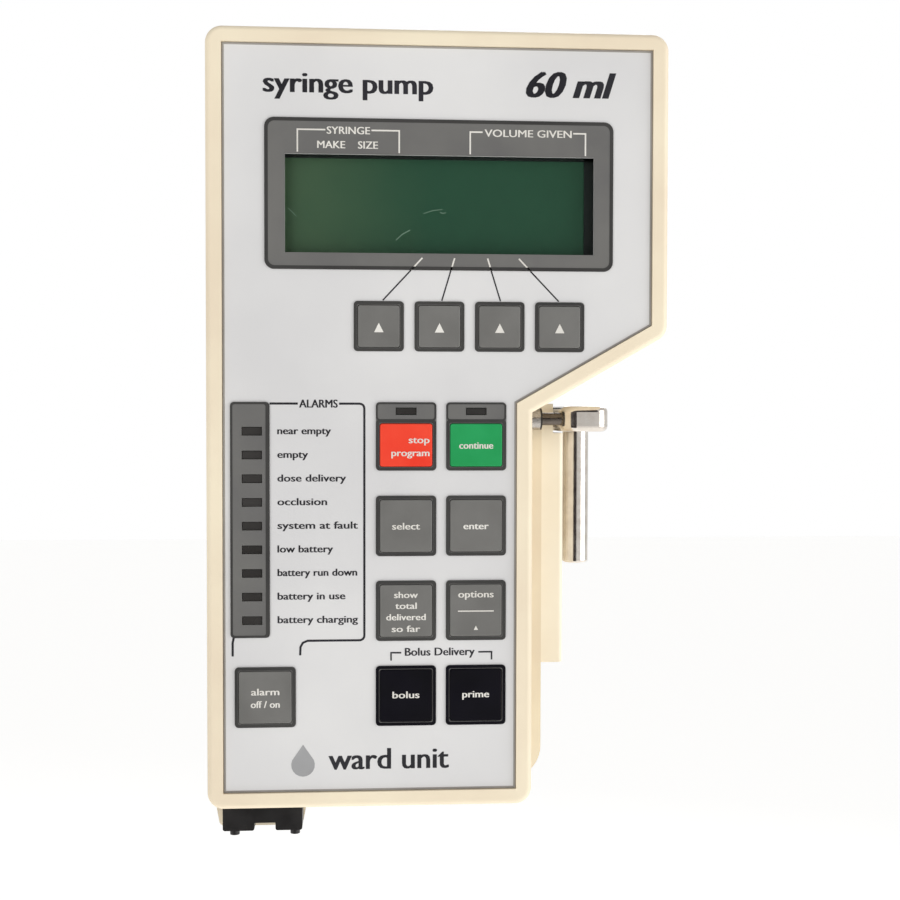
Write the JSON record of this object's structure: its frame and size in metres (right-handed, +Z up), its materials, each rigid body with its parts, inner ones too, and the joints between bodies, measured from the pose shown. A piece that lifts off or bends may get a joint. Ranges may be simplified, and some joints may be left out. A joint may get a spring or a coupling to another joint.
{
  "type": "syringe pump",
  "caption": "Pole-mounted hospital syringe pump with a display, membrane keys, a sliding barrel clamp and a screw-driven plunger driver.",
  "frame": {"origin": "on the axis of the pole that the clamp at the back holds, at the middle of the clamp", "axes": "+Z up along the pole and the panel, +X to the right as the user faces the panel, the panel faces -Y"},
  "size_m": [0.1176, 0.112, 0.2064],
  "materials": {
    "casing": "moulded cream ABS, fine matt spark texture",
    "panel_film": "printed polyester film, satin",
    "dark_frame": "dark grey moulded and printed frames",
    "grey_key": "satin grey silicone key",
    "red_key": "satin red key",
    "green_key": "satin green key",
    "navy_key": "satin near-black navy key",
    "display_glass": "green-grey liquid crystal glass",
    "window": "clear acrylic window",
    "led": "diffusing amber light pipe",
    "chrome": "polished chrome plate",
    "steel": "ground steel",
    "brass": "turned brass",
    "aluminium": "cast and machined aluminium",
    "black_plastic": "black glass-filled nylon",
    "rubber": "moulded rubber",
    "board": "fibreglass circuit board",
    "battery": "shrink-wrapped cells",
    "gear_nylon": "moulded acetal"
  },
  "bodies": {
    "case": {"barrel_cradle": "casing", "battery_door": "casing", "battery_pack": "battery", "case_screws": "steel", "clamp_bush": "steel", "clamp_spring": "steel", "display_lens": "window", "display_surround": "dark_frame", "dock_shoe": "black_plastic", "drive_chassis": "aluminium", "drive_motor": "steel", "front_shell": "casing", "guide_rod": "steel", "key_surrounds": "dark_frame", "keypad_board": "board", "lcd_frame": "steel", "lcd_glass": "display_glass", "main_board": "board", "overhang_cover": "casing", "panel_overlay": "panel_film", "pole_clamp_frame": "aluminium", "power_board": "board", "power_socket": "black_plastic", "rear_shell": "casing", "screw_bearings": "brass", "status_leds": "led", "tube_seal": "rubber"},
    "clamp": {"clamp_shaft": "steel", "clamp_head": "chrome", "clamp_rod": "chrome"},
    "screw": {"leadscrew": "steel", "screw_gear": "gear_nylon"},
    "idler": {"idler_gear": "gear_nylon"},
    "pinion": {"motor_pinion": "brass"},
    "driver": {"carriage": "aluminium", "driver_tube": "steel", "driver_body": "casing", "driver_cover": "casing", "pusher_face": "aluminium"},
    "release": {"release_rod": "steel", "release_lever": "black_plastic"},
    "nut": {"half_nut": "brass"},
    "clip_front": {"plunger_clip_front": "black_plastic"},
    "clip_back": {"plunger_clip_back": "black_plastic"},
    "pole_pad": {"pole_clamp_pad": "rubber"},
    "pole_knob": {"pole_clamp_screw": "steel", "pole_clamp_knob": "black_plastic"},
    "button_alarm_off": {"key_alarm_off": "grey_key"},
    "button_bolus": {"key_bolus": "navy_key"},
    "button_digit_1": {"key_digit_1": "grey_key"},
    "button_digit_2": {"key_digit_2": "grey_key"},
    "button_digit_3": {"key_digit_3": "grey_key"},
    "button_digit_4": {"key_digit_4": "grey_key"},
    "button_enter": {"key_enter": "grey_key"},
    "button_mode": {"key_mode": "grey_key"},
    "button_prime": {"key_prime": "navy_key"},
    "button_select": {"key_select": "grey_key"},
    "button_start": {"key_start": "green_key"},
    "button_stop": {"key_stop": "red_key"},
    "button_total": {"key_total": "grey_key"}
  },
  "joints": [
    {"name": "clamp_slide", "type": "slide", "parent": "case", "child": "clamp", "axis": [1, 0, 0], "range_m": [0, 0.028], "stiffness_N_per_m": 120, "springref_m": -0.01, "deforming": ["clamp_spring"]},
    {"name": "leadscrew_spin", "type": "hinge", "parent": "case", "child": "screw", "pos_m": [0.025, -0.047, 0], "axis": [0, 0, 1], "range_deg": [-10265, 2165]},
    {"name": "idler_spin", "type": "hinge", "parent": "case", "child": "idler", "pos_m": [0.0034, -0.047, 0], "axis": [0, 0, 1], "range_deg": [-2705, 12835]},
    {"name": "pinion_spin", "type": "hinge", "parent": "case", "child": "pinion", "pos_m": [-0.0126, -0.047, 0], "axis": [0, 0, 1], "range_deg": [-19250, 4060]},
    {"name": "driver_slide", "type": "slide", "parent": "case", "child": "driver", "axis": [0, 0, 1], "range_m": [-0.012, 0.057]},
    {"name": "release_turn", "type": "hinge", "parent": "driver", "child": "release", "pos_m": [0.0395, -0.035, 0], "axis": [0, 0, 1], "range_deg": [-20, 0], "stiffness_Nm_per_rad": 0.003, "springref_deg": 1.15},
    {"name": "nut_slide", "type": "slide", "parent": "driver", "child": "nut", "axis": [1, 0, 0], "range_m": [-0.0041, 0]},
    {"name": "clip_front_swing", "type": "hinge", "parent": "driver", "child": "clip_front", "pos_m": [0.0485, -0.061, 0], "axis": [0, 0, 1], "range_deg": [-15.1, 0]},
    {"name": "clip_back_swing", "type": "hinge", "parent": "driver", "child": "clip_back", "pos_m": [0.0485, -0.045, 0], "axis": [0, 0, 1], "range_deg": [0, 15.1]},
    {"name": "pole_pad_slide", "type": "slide", "parent": "case", "child": "pole_pad", "axis": [1, 0, 0], "range_m": [-0.009, 0.0066]},
    {"name": "pole_knob_spin", "type": "hinge", "parent": "pole_pad", "child": "pole_knob", "pos_m": [0.039, 0, 0], "axis": [1, 0, 0], "range_deg": [-1195, 1630]},
    {"name": "button_alarm_off_press", "type": "slide", "parent": "case", "child": "button_alarm_off", "axis": [0, 1, 0], "range_m": [0, 0.0005], "stiffness_N_per_m": 300},
    {"name": "button_bolus_press", "type": "slide", "parent": "case", "child": "button_bolus", "axis": [0, 1, 0], "range_m": [0, 0.0005], "stiffness_N_per_m": 300},
    {"name": "button_digit_1_press", "type": "slide", "parent": "case", "child": "button_digit_1", "axis": [0, 1, 0], "range_m": [0, 0.0005], "stiffness_N_per_m": 300},
    {"name": "button_digit_2_press", "type": "slide", "parent": "case", "child": "button_digit_2", "axis": [0, 1, 0], "range_m": [0, 0.0005], "stiffness_N_per_m": 300},
    {"name": "button_digit_3_press", "type": "slide", "parent": "case", "child": "button_digit_3", "axis": [0, 1, 0], "range_m": [0, 0.0005], "stiffness_N_per_m": 300},
    {"name": "button_digit_4_press", "type": "slide", "parent": "case", "child": "button_digit_4", "axis": [0, 1, 0], "range_m": [0, 0.0005], "stiffness_N_per_m": 300},
    {"name": "button_enter_press", "type": "slide", "parent": "case", "child": "button_enter", "axis": [0, 1, 0], "range_m": [0, 0.0005], "stiffness_N_per_m": 300},
    {"name": "button_mode_press", "type": "slide", "parent": "case", "child": "button_mode", "axis": [0, 1, 0], "range_m": [0, 0.0005], "stiffness_N_per_m": 300},
    {"name": "button_prime_press", "type": "slide", "parent": "case", "child": "button_prime", "axis": [0, 1, 0], "range_m": [0, 0.0005], "stiffness_N_per_m": 300},
    {"name": "button_select_press", "type": "slide", "parent": "case", "child": "button_select", "axis": [0, 1, 0], "range_m": [0, 0.0005], "stiffness_N_per_m": 300},
    {"name": "button_start_press", "type": "slide", "parent": "case", "child": "button_start", "axis": [0, 1, 0], "range_m": [0, 0.0005], "stiffness_N_per_m": 300},
    {"name": "button_stop_press", "type": "slide", "parent": "case", "child": "button_stop", "axis": [0, 1, 0], "range_m": [0, 0.0005], "stiffness_N_per_m": 300},
    {"name": "button_total_press", "type": "slide", "parent": "case", "child": "button_total", "axis": [0, 1, 0], "range_m": [0, 0.0005], "stiffness_N_per_m": 300}
  ],
  "couplings": [
    {"joint": "leadscrew_spin", "follows": "driver_slide", "rad_per_m": -3141.6},
    {"joint": "idler_spin", "follows": "driver_slide", "rad_per_m": 3927},
    {"joint": "pinion_spin", "follows": "driver_slide", "rad_per_m": -5890.5},
    {"joint": "nut_slide", "follows": "release_turn", "m_per_rad": 0.011459},
    {"joint": "clip_front_swing", "follows": "release_turn", "ratio": 0.75},
    {"joint": "clip_back_swing", "follows": "release_turn", "ratio": -0.75},
    {"joint": "pole_knob_spin", "follows": "pole_pad_slide", "rad_per_m": -3141.6}
  ]
}
